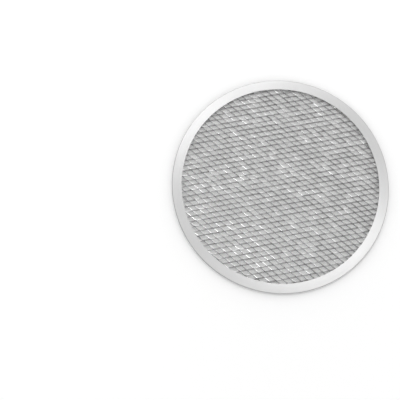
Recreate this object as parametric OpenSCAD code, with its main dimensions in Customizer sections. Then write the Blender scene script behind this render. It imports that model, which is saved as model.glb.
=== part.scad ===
// Round pizza screen: a disc of raised expanded aluminium held in a folded aluminium rim.
// It lies flat: the rim's lower face is at z = 0, the disc's centre is on the Z axis and the
// long way of the diamonds runs along X.

/* [Screen] */
// Outer diameter of the whole screen
screen_d = 228.6; // [152.4:12.7:254]

/* [Rim] */
// Width of the rim's flat face, from its lip to the outer edge
rim_face = 10.3; // [7:0.1:14]
// Thickness of the strip that the rim is folded from
strip_t = 0.5; // [0.4:0.05:0.8]
// Outside radius of the two bends along the outer edge
bend_r = 1; // [0.9:0.05:1.3]

/* [Mesh] */
// Long way of a diamond, from bond centre to bond centre
long_way = 12.7; // [11:0.1:15]
// Short way of a diamond, from bond centre to bond centre
short_way = 6; // [5.4:0.1:7]
// Width of a strand, which is how far apart the rows of slits are
strand_w = 1.2; // [1:0.05:1.4]
// Thickness of the sheet that was slit and stretched
sheet_t = 0.8; // [0.6:0.05:1]

/* [Fit] */
// Play between the mesh and each flange of the rim
flange_play = 0.05; // [0.02:0.01:0.1]
// Play between the mesh's cut edge and the rim's outer wall
edge_play = 0.6; // [0.3:0.1:1]

/* [Hidden] */
$fn = 96;

screen_r = screen_d / 2;

// Stretching lifts each row of strands beside the last one, so the rows climb by row_rise as
// they step on by strand_w, and a whole step in the plane of the mesh is half the short way.
row_step = short_way / 2;
row_rise = sqrt(row_step * row_step - strand_w * strand_w);
lean = asin(strand_w / row_step);
mesh_h = 2 * strand_w * cos(lean) + sheet_t * sin(lean);

// The rim's throat takes the full height of the mesh.
throat_h = mesh_h + 2 * flange_play;
rim_h = throat_h + 2 * strip_t;
mesh_r = screen_r - strip_t - edge_play;

// Corner of the rim's section: a quarter of the bend, centred on its own bend centre
module bend() {
    intersection() {
        difference() {
            circle(bend_r);
            circle(bend_r - strip_t);
        }
        square(bend_r);
    }
}

// Upper flange of the rim's section, from its rounded lip to the start of the bend
module flange() {
    lip_r = strip_t / 2;
    translate([lip_r - rim_face, -strip_t])
        square([rim_face - lip_r - bend_r, strip_t]);
    translate([lip_r - rim_face, -lip_r])
        circle(lip_r);
}

// Upper half of the rim's section, with the outer edge at x = 0 and the middle at y = 0
module half_channel() {
    translate([0, rim_h / 2])
        flange();
    translate([-bend_r, rim_h / 2 - bend_r])
        bend();
    translate([-strip_t, 0])
        square([strip_t, rim_h / 2 - bend_r]);
}

// A strip folded over the mesh's edge into a channel that opens towards the centre
module rim() {
    color("gainsboro")
        translate([0, 0, rim_h / 2])
            rotate_extrude()
                translate([screen_r, 0]) {
                    half_channel();
                    mirror([0, 1])
                        half_channel();
                }
}

// Edge of one row of strands: it swings between the bonds of the row before and the row after.
// The side is 1 for the row's outer edge and -1 for its inner edge, a sheet's thickness apart.
function row_edge(row, reach, side) = [
    for (i = [-reach:reach])
        [i * long_way / 2, (row + abs(i + row) % 2) * row_rise + side * sheet_t / 2]
];

function backwards(list) = [for (i = [len(list) - 1:-1:0]) list[i]];

// One row of strands, as wide as the slits are apart and as long as the disc is there
module strand_row(row) {
    chord = sqrt(max(0, mesh_r * mesh_r - pow(max(0, abs(row + 0.5) - 1) * row_step, 2)));
    reach = ceil(2 * chord / long_way) + 1;
    translate([0, 0, row * strand_w])
        linear_extrude(strand_w)
            polygon(concat(row_edge(row, reach, 1), backwards(row_edge(row, reach, -1))));
}

// Expanded metal, cut to a disc: every row stands on edge and shares its bonds with the next
module mesh() {
    rows = ceil(mesh_r / row_step) + 1;
    color("silver")
        translate([0, 0, rim_h / 2])
            intersection() {
                rotate([-lean, 0, 0])
                    union()
                        for (row = [-rows:rows])
                            strand_row(row);
                translate([0, 0, -mesh_h])
                    cylinder(r = mesh_r, h = 2 * mesh_h);
            }
}

rim();
mesh();
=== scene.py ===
"""Looks of the round pizza screen: a rolled aluminium rim folded over raised expanded aluminium mesh.

Metres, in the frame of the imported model: the screen lies on z = 0, centred on the Z axis, and the long
way of its diamonds runs along X. Sizes written in millimetres are turned into metres by MM.
"""

import math

import bpy
import numpy as np
from mathutils import Matrix, Vector


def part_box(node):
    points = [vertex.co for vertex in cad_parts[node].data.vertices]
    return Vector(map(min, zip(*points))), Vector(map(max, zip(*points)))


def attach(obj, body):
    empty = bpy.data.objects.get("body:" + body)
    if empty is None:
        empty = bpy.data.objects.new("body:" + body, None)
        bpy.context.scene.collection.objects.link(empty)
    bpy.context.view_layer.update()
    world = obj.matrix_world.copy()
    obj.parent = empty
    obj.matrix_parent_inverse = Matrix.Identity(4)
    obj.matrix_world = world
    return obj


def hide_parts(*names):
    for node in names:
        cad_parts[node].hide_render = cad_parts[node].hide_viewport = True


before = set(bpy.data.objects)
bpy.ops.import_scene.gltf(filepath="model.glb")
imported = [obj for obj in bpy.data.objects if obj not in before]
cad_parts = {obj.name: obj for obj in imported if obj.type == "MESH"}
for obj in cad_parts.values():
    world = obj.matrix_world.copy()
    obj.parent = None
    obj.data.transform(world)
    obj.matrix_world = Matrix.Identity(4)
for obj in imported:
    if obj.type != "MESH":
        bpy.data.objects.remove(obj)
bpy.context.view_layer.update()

MM = 0.001
SEED = 7

# Sizes of the screen, as the solids have them
SCREEN_R = 114.3 * MM
RIM_FACE = 10.3 * MM
STRIP_T = 0.5 * MM
BEND_R = 1.0 * MM
EDGE_PLAY = 0.6 * MM
LONG_WAY = 12.7 * MM
SHORT_WAY = 6.0 * MM
STRAND_W = 1.2 * MM
SHEET_T = 0.8 * MM

RIM_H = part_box("rim")[1].z
MESH_R = SCREEN_R - STRIP_T - EDGE_PLAY
ROW_STEP = SHORT_WAY / 2
ROW_RISE = math.sqrt(ROW_STEP ** 2 - STRAND_W ** 2)
LEAN = math.asin(STRAND_W / ROW_STEP)

# Edges that turn by more than this are shaded as sharp
SHARP = math.radians(50)


def new_piece(name, vertices, faces):
    """A mesh object from plain lists, shaded smooth except at sharp edges and linked to the scene."""
    data = bpy.data.meshes.new(name)
    data.from_pydata(vertices, [], faces)
    data.polygons.foreach_set("use_smooth", [True] * len(data.polygons))
    data.set_sharp_from_angle(angle=SHARP)
    data.update()
    piece = bpy.data.objects.new(name, data)
    bpy.context.scene.collection.objects.link(piece)
    return piece


# Rim

RIM_STEPS = 480
ARC_STEPS = 6

# Waviness from rolling: how often each wave goes up and down on the way round, and the least size of one.
# The lips wander in and out by LIP_WANDER and are pressed together by about the share LIP_PRESS.
WAVES_ROUND = (5, 8, 13, 21, 34)
LEAST_WAVE = 0.3
LIP_WANDER = 0.05 * MM
LIP_PRESS = 0.012


def arc(cx, cy, radius, start, end):
    """Points on an arc, angles in degrees."""
    turns = np.radians(np.linspace(start, end, ARC_STEPS + 1))
    return [(cx + radius * math.cos(a), cy + radius * math.sin(a)) for a in turns]


def channel_section():
    """Closed outline of the folded strip: distance in from the outer edge (negative), and height."""
    lip = STRIP_T / 2
    half = RIM_H / 2
    lip_end = arc(lip - RIM_FACE, half - lip, lip, 270, 90)
    upper_outside = lip_end + arc(-BEND_R, half - BEND_R, BEND_R, 90, 0)
    lower_outside = [(x, -y) for x, y in reversed(upper_outside)]
    upper_inside = arc(-BEND_R, half - BEND_R, BEND_R - STRIP_T, 0, 90)
    lower_inside = [(x, -y) for x, y in reversed(upper_inside)]
    return upper_outside + lower_outside + lower_inside + upper_inside


def make_rim():
    """The folded strip, swept round the screen with a slight waviness that grows towards the lips."""
    section = channel_section()
    rng = np.random.RandomState(SEED)
    waves = [(k, rng.uniform(LEAST_WAVE, 1.0) / k, rng.uniform(0, math.tau)) for k in WAVES_ROUND]
    vertices = []
    for step in range(RIM_STEPS):
        a = math.tau * step / RIM_STEPS
        sway = sum(size * math.sin(k * a + phase) for k, size, phase in waves)
        for x, y in section:
            inward = min(1.0, max(0.0, -x / RIM_FACE))
            radius = SCREEN_R + x + LIP_WANDER * sway * inward
            press = 1 - LIP_PRESS * inward * (1 + sway)
            vertices.append((radius * math.cos(a), radius * math.sin(a), RIM_H / 2 + y * press))
    n = len(section)
    faces = []
    for step in range(RIM_STEPS):
        here, there = step * n, (step + 1) % RIM_STEPS * n
        faces += [(here + i, here + (i + 1) % n, there + (i + 1) % n, there + i) for i in range(n)]
    return new_piece("rim_strip", vertices, faces)


# Mesh

# Flat length of a bond, run of the bend at each end of a strand, and how far the edges are rounded off
BOND_LEN = 0.5 * MM
BEND_RUN = 0.4 * MM
EDGE_SOFT = 0.09 * MM

# How far a strand may be off its place, and how far it may be turned round its length
JITTER = 0.035 * MM
TWIST = math.radians(4.0)

# The disc is cut here, a little inside the edge of the solid. The cut is looked for at CUT_TRIES places
# along a strand, and no stub is shorter than SHORTEST.
CUT_R = MESH_R - 0.3 * MM
CUT_TRIES = 60
SHORTEST = 0.1 * MM

# A draw from 0 to 1 is raised to this power, so most strands get little painted glint, a highlight painted
# into their colour. The bonds get the mean painted glint.
PAINTED_GLINT_POWER = 3
MEAN_PAINTED_GLINT = 1 / (PAINTED_GLINT_POWER + 1)

# A strand's run along the long way between two bonds, its slope, and where it has rings of corners
RUN = LONG_WAY / 2 - BOND_LEN
SLOPE = ROW_RISE / (RUN - BEND_RUN)
STOPS = [BEND_RUN / 2, BEND_RUN, RUN - BEND_RUN, RUN - BEND_RUN / 2]

# Which faces of a bond's side lie on a slit edge, and which of those round a strand
BOND_SLITS = [False, True, True, True, False]
STRAND_SLITS = [False, True, True, True, False, True, True, True]


def in_part(x, n, w):
    """A point of the part, from its place in the sheet: along the long way, through it, across the rows."""
    y = n * math.cos(LEAN) + w * math.sin(LEAN)
    z = RIM_H / 2 - n * math.sin(LEAN) + w * math.cos(LEAN)
    return x, y, z


def rise_and_slope(run):
    """How far a strand has climbed after a run from its bond, and how steeply it climbs there."""
    if run < BEND_RUN:
        return SLOPE * run ** 2 / (2 * BEND_RUN), SLOPE * run / BEND_RUN
    if run > RUN - BEND_RUN:
        rest = RUN - run
        return ROW_RISE - SLOPE * rest ** 2 / (2 * BEND_RUN), SLOPE * rest / BEND_RUN
    return SLOPE * (run - BEND_RUN / 2), SLOPE


class Lattice:
    """Collects the bonds and the strands of expanded metal as one connected mesh.

    Points are kept by their place in the sheet. Each face has a slit value, 1 on the edges that the knife
    cut, and a painted glint from 0 to 1, a highlight painted into its colour.
    """

    def __init__(self):
        self.points, self.faces, self.slits, self.painted_glints = [], [], [], []
        self.painted_glint = MEAN_PAINTED_GLINT
        self.rng = np.random.RandomState(SEED + 1)

    def add(self, x, n, w):
        """A new point. Returns its number."""
        self.points.append((x, n, w))
        return len(self.points) - 1

    def face(self, loop, flip, slit=False):
        """A new face round a loop of points, which is turned over unless flip is set."""
        self.faces.append(tuple(loop) if flip else tuple(reversed(loop)))
        self.slits.append(slit)
        self.painted_glints.append(self.painted_glint)

    def band(self, a, b, flip, slits):
        """Faces between two open rows of corners. slits says which of them lie on a slit edge."""
        for k, slit in enumerate(slits):
            self.face([a[k], a[k + 1], b[k + 1], b[k]], flip, slit)

    def bond(self, i, q):
        """One bond, two strands wide. Returns six corners for each strand that starts there.

        They are found by the bond's end and the side of its row, and go from the outer face to the inner.
        """
        cx, cn, cw = i * LONG_WAY / 2, q * ROW_RISE, q * STRAND_W
        half, soft = SHEET_T / 2, EDGE_SOFT
        starts = {}
        for end in (-1, 1):
            x = cx + end * BOND_LEN / 2
            top, bottom = self.add(x, cn + half, cw), self.add(x, cn - half, cw)
            for side in (-1, 1):
                edge, inset = side * STRAND_W, side * (STRAND_W - soft)
                outline = [(half, inset), (half - soft, edge), (soft - half, edge), (-half, inset)]
                starts[end, side] = [top] + [self.add(x, cn + a, cw + b) for a, b in outline] + [bottom]
        for side in (-1, 1):
            self.band(starts[-1, side], starts[1, side], side > 0, BOND_SLITS)
        return starts

    def ring(self, x, n, slope, low, shift, twist):
        """Eight corners round a strand, square to its path: outer face, upper slit edge, and on round it."""
        half, wide, soft = SHEET_T / 2, STRAND_W / 2, EDGE_SOFT
        turn = math.atan(slope)
        outline = [(half, soft - wide), (half, wide - soft), (half - soft, wide), (soft - half, wide),
                   (-half, wide - soft), (-half, soft - wide), (soft - half, -wide), (half - soft, -wide)]
        corners = []
        for a, b in outline:
            out = a * math.cos(twist) - b * math.sin(twist)
            across = a * math.sin(twist) + b * math.cos(twist)
            corners.append(self.add(x - out * math.sin(turn), n + shift[0] + out * math.cos(turn),
                                    low + wide + shift[1] + across))
        return corners

    def join(self, six, eight, side, flip):
        """Joins a bond's six corners to a strand's ring.

        The two corners on the slit line between the rows fan out to the strand's rounded edges there.
        """
        if side > 0:
            upper, lower = eight[:6], (eight[7], eight[6])
        else:
            upper, lower = [eight[k] for k in (1, 0, 7, 6, 5, 4)], (eight[2], eight[3])
            flip = not flip
        self.band(six, upper, flip, BOND_SLITS)
        top, bottom = six[0], six[5]
        self.face([bottom, lower[1], upper[5]], flip, True)
        self.face([bottom, top, lower[0], lower[1]], flip, True)
        self.face([top, upper[0], lower[0]], flip, True)

    def strand(self, here, start, end, way, side):
        """A strand from the corners at one bond to those at the next, or to where the disc is cut.

        here is the first bond's place in the lattice. way and side say where the strand goes from it, along
        the long way and across the rows. end is None where the disc ends first.
        """
        cx, cn, cw = here[0] * LONG_WAY / 2, here[1] * ROW_RISE, here[1] * STRAND_W
        low = cw if side > 0 else cw - STRAND_W

        def at(run):
            rise, slope = rise_and_slope(run)
            return cx + way * (BOND_LEN / 2 + run), cn + side * rise, way * side * slope

        def reach(run):
            x, n, _ = at(run)
            x, y, _ = in_part(x, n, low + STRAND_W / 2)
            return math.hypot(x, y)

        runs = STOPS
        if end is None:
            inside = [run for run in np.linspace(SHORTEST, RUN, CUT_TRIES) if reach(run) < CUT_R]
            if not inside:
                self.face(start, way * side > 0, True)
                return
            runs = [run for run in STOPS if run < inside[-1] - SHORTEST] + [inside[-1]]
        shift = self.rng.uniform(-JITTER, JITTER, 2)
        twist = self.rng.uniform(-TWIST, TWIST)
        # Painted glint for this strand: a highlight painted into its colour
        self.painted_glint = self.rng.uniform() ** PAINTED_GLINT_POWER
        rings = [self.ring(*at(run), low, shift, twist) for run in runs]
        flip = way > 0
        self.join(start, rings[0], side, flip)
        for a, b in zip(rings, rings[1:]):
            self.band(a + a[:1], b + b[:1], flip, STRAND_SLITS)
        if end is None:
            self.face(rings[-1], flip, True)
        else:
            self.join(end, rings[-1], -side, not flip)


def make_mesh():
    """Expanded metal: every row of strands swings between the bonds that it shares with its neighbours."""
    lattice = Lattice()
    most_i, most_q = int(2 * MESH_R / LONG_WAY) + 1, int(MESH_R / ROW_STEP) + 1
    bonds = {}
    for q in range(-most_q, most_q + 1):
        for i in range(-most_i, most_i + 1):
            x, y = abs(i) * LONG_WAY / 2, abs(q) * ROW_STEP
            if (i + q) % 2 == 0 and math.hypot(x + BOND_LEN / 2, y + STRAND_W / 2) < CUT_R:
                bonds[i, q] = lattice.bond(i, q)
    for (i, q), starts in bonds.items():
        for way in (-1, 1):
            for side in (-1, 1):
                next_bond = bonds.get((i + way, q + side))
                if next_bond is None:
                    lattice.strand((i, q), starts[way, side], None, way, side)
                elif side > 0:
                    lattice.strand((i, q), starts[way, side], next_bond[-way, -side], way, side)
    piece = new_piece("expanded_mesh", [in_part(*point) for point in lattice.points], lattice.faces)
    values = piece.data.attributes
    values.new("slit", "FLOAT", "FACE").data.foreach_set("value", np.float32(lattice.slits))
    values.new("painted_glint", "FLOAT", "FACE").data.foreach_set("value", np.float32(lattice.painted_glints))
    places = np.float32(lattice.points).ravel()
    values.new("sheet", "FLOAT_VECTOR", "POINT").data.foreach_set("vector", places)
    return piece


# Materials

WHITE = (1.0, 1.0, 1.0, 1.0)

# Noise patterns stay mostly between these values
NOISE_LOW = 0.3
NOISE_HIGH = 0.7


class Nodes:
    """Short ways to add and link the nodes of one tree."""

    def __init__(self, tree):
        self.tree = tree

    def add(self, kind, inputs=(), **settings):
        """A new node, with its settings and the values or the links of its inputs."""
        node = self.tree.nodes.new(kind)
        for key, value in settings.items():
            setattr(node, key, value)
        for key, value in dict(inputs).items():
            self.put(node.inputs[key], value)
        return node

    def put(self, socket, value):
        """Sets a socket, or links it when the value is another node's output."""
        if isinstance(value, bpy.types.NodeSocket):
            self.tree.links.new(value, socket)
        else:
            socket.default_value = value

    def math(self, operation, *values):
        return self.add("ShaderNodeMath", dict(enumerate(values)), operation=operation).outputs[0]

    def vector(self, operation, *values):
        return self.add("ShaderNodeVectorMath", dict(enumerate(values)), operation=operation)

    def noise(self, at, scale, detail=2.0, rough=0.5):
        inputs = {"Vector": at, "Scale": scale, "Detail": detail, "Roughness": rough}
        return self.add("ShaderNodeTexNoise", inputs).outputs["Fac"]

    def spread(self, value, low, high, new_low, new_high):
        """Takes values between low and high to values between the new ones, and none beyond them."""
        inputs = {"Value": value, "From Min": low, "From Max": high, "To Min": new_low, "To Max": new_high}
        return self.add("ShaderNodeMapRange", inputs).outputs["Result"]

    def between(self, share, low, high):
        """The value that lies a share, from 0 to 1, of the way from low to high."""
        return self.spread(share, 0.0, 1.0, low, high)

    def vary(self, noise, low, high):
        """Turns a noise pattern into values from low to high."""
        return self.spread(noise, NOISE_LOW, NOISE_HIGH, low, high)

    def grey(self, value):
        return self.add("ShaderNodeCombineColor", {0: value, 1: value, 2: value}).outputs[0]

    def bump(self, height, strength, depth):
        inputs = {"Strength": strength, "Distance": depth, "Height": height}
        return self.add("ShaderNodeBump", inputs).outputs[0]

    def carried(self, name, output):
        """One of the values that a piece's mesh carries with it."""
        return self.add("ShaderNodeAttribute", attribute_name=name).outputs[output]

    def shade(self, inputs):
        """Fills in the sockets of the tree's main shader."""
        for key, value in inputs.items():
            self.put(self.tree.nodes["Principled BSDF"].inputs[key], value)


def new_material(name):
    material = bpy.data.materials.new(name)
    material.use_nodes = True
    return material, Nodes(material.node_tree)


# How fine the rim's patterns are, and how slowly its grain changes on the way round
FINE_GRAIN = 5200.0
COARSE_GRAIN = 900.0
RIM_CLOUDS = 28.0
ROUND_GRAIN = 0.004

# Grey tones of the strip, with what the grain adds or takes, and the share of them left at the outer fold,
# where painted shade darkens the colour into a dark edge line
RIM_TONES = (0.725, 0.745)
GRAIN_TONE = 0.012
FOLD_PAINTED_SHADE = 0.6
FOLD_FROM = SCREEN_R - BEND_R
FOLD_TO = SCREEN_R - 0.3 * BEND_R

RIM_ROUGHNESS = (0.48, 0.52)


def rim_metal():
    """Bright rolled aluminium strip, with painted shade darkening its colour round the outer fold. Its
    rolling grain runs round the rim.

    The grain's pattern is taken at the radius and, much slower, at the direction from the centre, so it has
    no join anywhere.
    """
    material, nodes = new_material("rolled_strip")
    place = nodes.add("ShaderNodeTexCoord").outputs["Object"]
    flat = nodes.vector("MULTIPLY", place, (1.0, 1.0, 0.0)).outputs[0]
    radius = nodes.vector("LENGTH", flat).outputs["Value"]
    way = nodes.add("ShaderNodeSeparateXYZ", {0: nodes.vector("NORMALIZE", flat).outputs[0]}).outputs
    x, y = nodes.math("MULTIPLY", way[0], ROUND_GRAIN), nodes.math("MULTIPLY", way[1], ROUND_GRAIN)
    grain_at = nodes.add("ShaderNodeCombineXYZ", {0: x, 1: y, 2: radius}).outputs[0]
    grain = nodes.noise(grain_at, FINE_GRAIN, detail=3.0, rough=0.6)
    coarse = nodes.noise(grain_at, COARSE_GRAIN)
    cloud = nodes.noise(place, RIM_CLOUDS, detail=3.0)
    tone = nodes.math("ADD", nodes.vary(grain, -GRAIN_TONE, GRAIN_TONE), nodes.vary(cloud, *RIM_TONES))
    # Painted shade: the colour is darkened round the outer fold to draw a dark edge line there
    fold = nodes.spread(radius, FOLD_FROM, FOLD_TO, 1.0, FOLD_PAINTED_SHADE)
    nodes.shade({
        "Base Color": nodes.grey(nodes.math("MULTIPLY", tone, fold)),
        "Metallic": 1.0,
        "Roughness": nodes.vary(coarse, *RIM_ROUGHNESS),
        "Anisotropic": 0.95,
        "Anisotropic Rotation": 0.25,
        "Tangent": nodes.add("ShaderNodeTangent", direction_type="RADIAL", axis="Z").outputs[0],
        "Normal": nodes.bump(grain, strength=0.15, depth=0.02 * MM),
    })
    return material


# Grey tones and roughness of the mesh's rolled faces and of its slit edges. Both tones are painted shade as
# well as colour: far darker than bare aluminium, and darkest on the steep rolled faces
FACE_TONE_AND_SHADE = 0.27
EDGE_TONE_AND_SHADE = 0.45
FACE_ROUGHNESS = 0.38
EDGE_ROUGHNESS = 0.2

# What clouds and grain each add to or take from the tones, and what a strand's painted glint multiplies them
# by, a highlight painted on a few strands
WEAR_TONE = 0.03
PAINTED_GLINT_LOW = 0.77
PAINTED_GLINT_HIGH = 1.85

# How fine the patterns are: clouds, and in the sheet's three directions its rolling grain and the tears
# that slitting leaves
MESH_CLOUDS = 160.0
ROLLED_GRAIN = (150.0, 1500.0, 6000.0)
SLIT_TEARS = (7000.0, 900.0, 900.0)


def mesh_metal():
    """Mill aluminium: rolled faces with a grain along the strands, darkened by painted shade, and brighter
    slit edges.

    A painted glint, drawn at random for each strand, brightens the colour of a few strands in place of the
    glints that differently twisted strands catch.
    """
    material, nodes = new_material("slit_sheet")
    sheet = nodes.carried("sheet", "Vector")
    slit = nodes.carried("slit", "Fac")
    rolled = nodes.noise(nodes.vector("MULTIPLY", sheet, ROLLED_GRAIN).outputs[0], 1.0, detail=3.0)
    torn = nodes.noise(nodes.vector("MULTIPLY", sheet, SLIT_TEARS).outputs[0], 1.0, detail=3.0)
    cloud = nodes.noise(sheet, MESH_CLOUDS)
    texture = nodes.add("ShaderNodeMix", {0: slit, 2: rolled, 3: torn}).outputs[0]
    # Painted shade: both tones are set far below bare aluminium, the rolled faces lowest
    tone = nodes.between(slit, FACE_TONE_AND_SHADE, EDGE_TONE_AND_SHADE)
    for pattern in (cloud, texture):
        tone = nodes.math("ADD", tone, nodes.vary(pattern, -WEAR_TONE, WEAR_TONE))
    # Painted highlight: a few strands' colour is brightened to stand for glints
    painted_glint = nodes.between(nodes.carried("painted_glint", "Fac"), PAINTED_GLINT_LOW, PAINTED_GLINT_HIGH)
    nodes.shade({
        "Base Color": nodes.grey(nodes.math("MULTIPLY", tone, painted_glint)),
        "Metallic": 1.0,
        "Roughness": nodes.between(slit, FACE_ROUGHNESS, EDGE_ROUGHNESS),
        "Normal": nodes.bump(texture, strength=0.45, depth=0.03 * MM),
    })
    return material


def seen_straight(nodes):
    """1 for the rays that show the background, to the camera or in metal and glass, and 0 for all others."""
    path = nodes.add("ShaderNodeLightPath").outputs
    seen = nodes.math("MAXIMUM", path["Is Camera Ray"], path["Is Glossy Ray"])
    return nodes.math("MAXIMUM", seen, path["Is Transmission Ray"])


# How much the floor is lifted where it is seen: near the screen, and rising to where the lamps hardly reach
NEAR_R = 0.12
NEAR_LIFT = 0.07
FAR_R = 2.0
FAR_LIFT = 0.35

PAPER_FIBRE = 900.0
PAPER_TONES = (0.945, 0.955)


def floor_white():
    """Matt white paper, lifted a little where it is seen, which leaves the screen its shadow there."""
    material, nodes = new_material("floor_white")
    place = nodes.add("ShaderNodeTexCoord").outputs["Object"]
    nodes.shade({
        "Base Color": nodes.grey(nodes.vary(nodes.noise(place, PAPER_FIBRE, detail=3.0), *PAPER_TONES)),
        "Roughness": 0.9,
        "Specular IOR Level": 0.1,
    })
    away = nodes.vector("LENGTH", place).outputs["Value"]
    rising = nodes.spread(away, NEAR_R, FAR_R, NEAR_LIFT, FAR_LIFT)
    lift = nodes.math("MULTIPLY", seen_straight(nodes), rising)
    glow = nodes.add("ShaderNodeEmission", {"Color": WHITE, "Strength": lift}).outputs[0]
    paper = nodes.tree.nodes["Principled BSDF"].outputs[0]
    both = nodes.add("ShaderNodeAddShader", {0: paper, 1: glow}).outputs[0]
    nodes.put(nodes.tree.nodes["Material Output"].inputs["Surface"], both)
    return material


# Camera, as the photo's outline and lattice place it. Lengths in the picture are in the photo's pixels.

IMAGE_PX = 400
FOCAL_PX = 670.5
CENTRE_PX = (280.8, 184.05)
DISTANCE = 0.704
TILT_X = math.radians(-10.07)
TILT_Y = math.radians(-1.46)
MESH_TURN = math.radians(14.93)
SENSOR_MM = 36.0
CLIP = (0.01, 20.0)


def make_camera():
    """Places the camera, working in its own axes first: right, down and away.

    The disc's axes there are its long way, the way across its rows, and up.
    """
    tilt = Matrix.Rotation(TILT_Y, 3, "Y") @ Matrix.Rotation(TILT_X, 3, "X")
    long_way = tilt @ Vector((math.cos(MESH_TURN), math.sin(MESH_TURN), 0.0))
    up = tilt @ Vector((0.0, 0.0, -1.0))
    to_part = Matrix((long_way, up.cross(long_way), up))
    middle = IMAGE_PX / 2
    ray = Vector(((CENTRE_PX[0] - middle) / FOCAL_PX, (CENTRE_PX[1] - middle) / FOCAL_PX, 1.0))
    eye = Vector((0.0, 0.0, RIM_H)) - to_part @ (ray * DISTANCE)
    turned = (to_part @ Matrix.Diagonal((1.0, -1.0, -1.0))).to_4x4()
    data = bpy.data.cameras.new("camera")
    data.sensor_width = SENSOR_MM
    data.lens = FOCAL_PX / IMAGE_PX * SENSOR_MM
    data.clip_start, data.clip_end = CLIP
    camera = bpy.data.objects.new("camera", data)
    camera.matrix_world = Matrix.Translation(eye) @ turned
    bpy.context.scene.collection.objects.link(camera)
    bpy.context.scene.camera = camera


# Light and floor

FLOOR_SIZE = 6.0

# Strength of the sky that lights things, at the horizon and overhead, and of the one that is seen
SKY_LOW = 2.1
SKY_HIGH = 0.1
SKY_SEEN = 1.0

# Name, azimuth, elevation, distance, size and watts of each lamp
LAMPS = (
    ("key", 110.0, 63.0, 2.5, (0.82, 0.77), 10.0),
    ("fill", 80.0, 55.0, 2.5, (0.8, 0.8), 4.6),
    ("strip", 76.0, 30.0, 1.0, (0.72, 0.25), 0.7),
)


def soft_box(name, azimuth, elevation, distance, size, watts):
    """A rectangular lamp that faces the screen: degrees from the picture's right and above the floor."""
    around = math.radians(azimuth) + MESH_TURN
    above = math.radians(elevation)
    way = Vector((math.cos(around) * math.cos(above), math.sin(around) * math.cos(above), math.sin(above)))
    data = bpy.data.lights.new(name, "AREA")
    data.shape = "RECTANGLE"
    data.size, data.size_y = size
    data.energy = watts
    lamp = bpy.data.objects.new(name, data)
    lamp.location = distance * way
    lamp.rotation_euler = way.to_track_quat("Z", "Y").to_euler()
    bpy.context.scene.collection.objects.link(lamp)


def light_world():
    """A sky that is brightest at the horizon for the rays that light things, and white where it is seen."""
    world = bpy.data.worlds.new("studio")
    bpy.context.scene.world = world
    world.use_nodes = True
    nodes = Nodes(world.node_tree)
    way = nodes.add("ShaderNodeTexCoord").outputs["Generated"]
    height = nodes.add("ShaderNodeSeparateXYZ", {0: way}).outputs[2]
    sky = nodes.between(height, SKY_LOW, SKY_HIGH)
    level = nodes.add("ShaderNodeMix", {0: seen_straight(nodes), 2: sky, 3: SKY_SEEN}).outputs[0]
    background = nodes.tree.nodes["Background"].inputs
    background["Color"].default_value = WHITE
    nodes.put(background["Strength"], level)


def make_floor():
    half = FLOOR_SIZE / 2
    corners = [(-half, -half, 0), (half, -half, 0), (half, half, 0), (-half, half, 0)]
    floor = new_piece("floor", corners, [(0, 1, 2, 3)])
    floor.data.materials.append(floor_white())


def dress(piece, material, node):
    """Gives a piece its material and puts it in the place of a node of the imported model."""
    piece.data.materials.append(material)
    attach(piece, "root")
    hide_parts(node)


dress(make_rim(), rim_metal(), "rim")
dress(make_mesh(), mesh_metal(), "mesh")
make_floor()
make_camera()
light_world()
for lamp in LAMPS:
    soft_box(*lamp)
bpy.context.scene.view_settings.view_transform = "Standard"
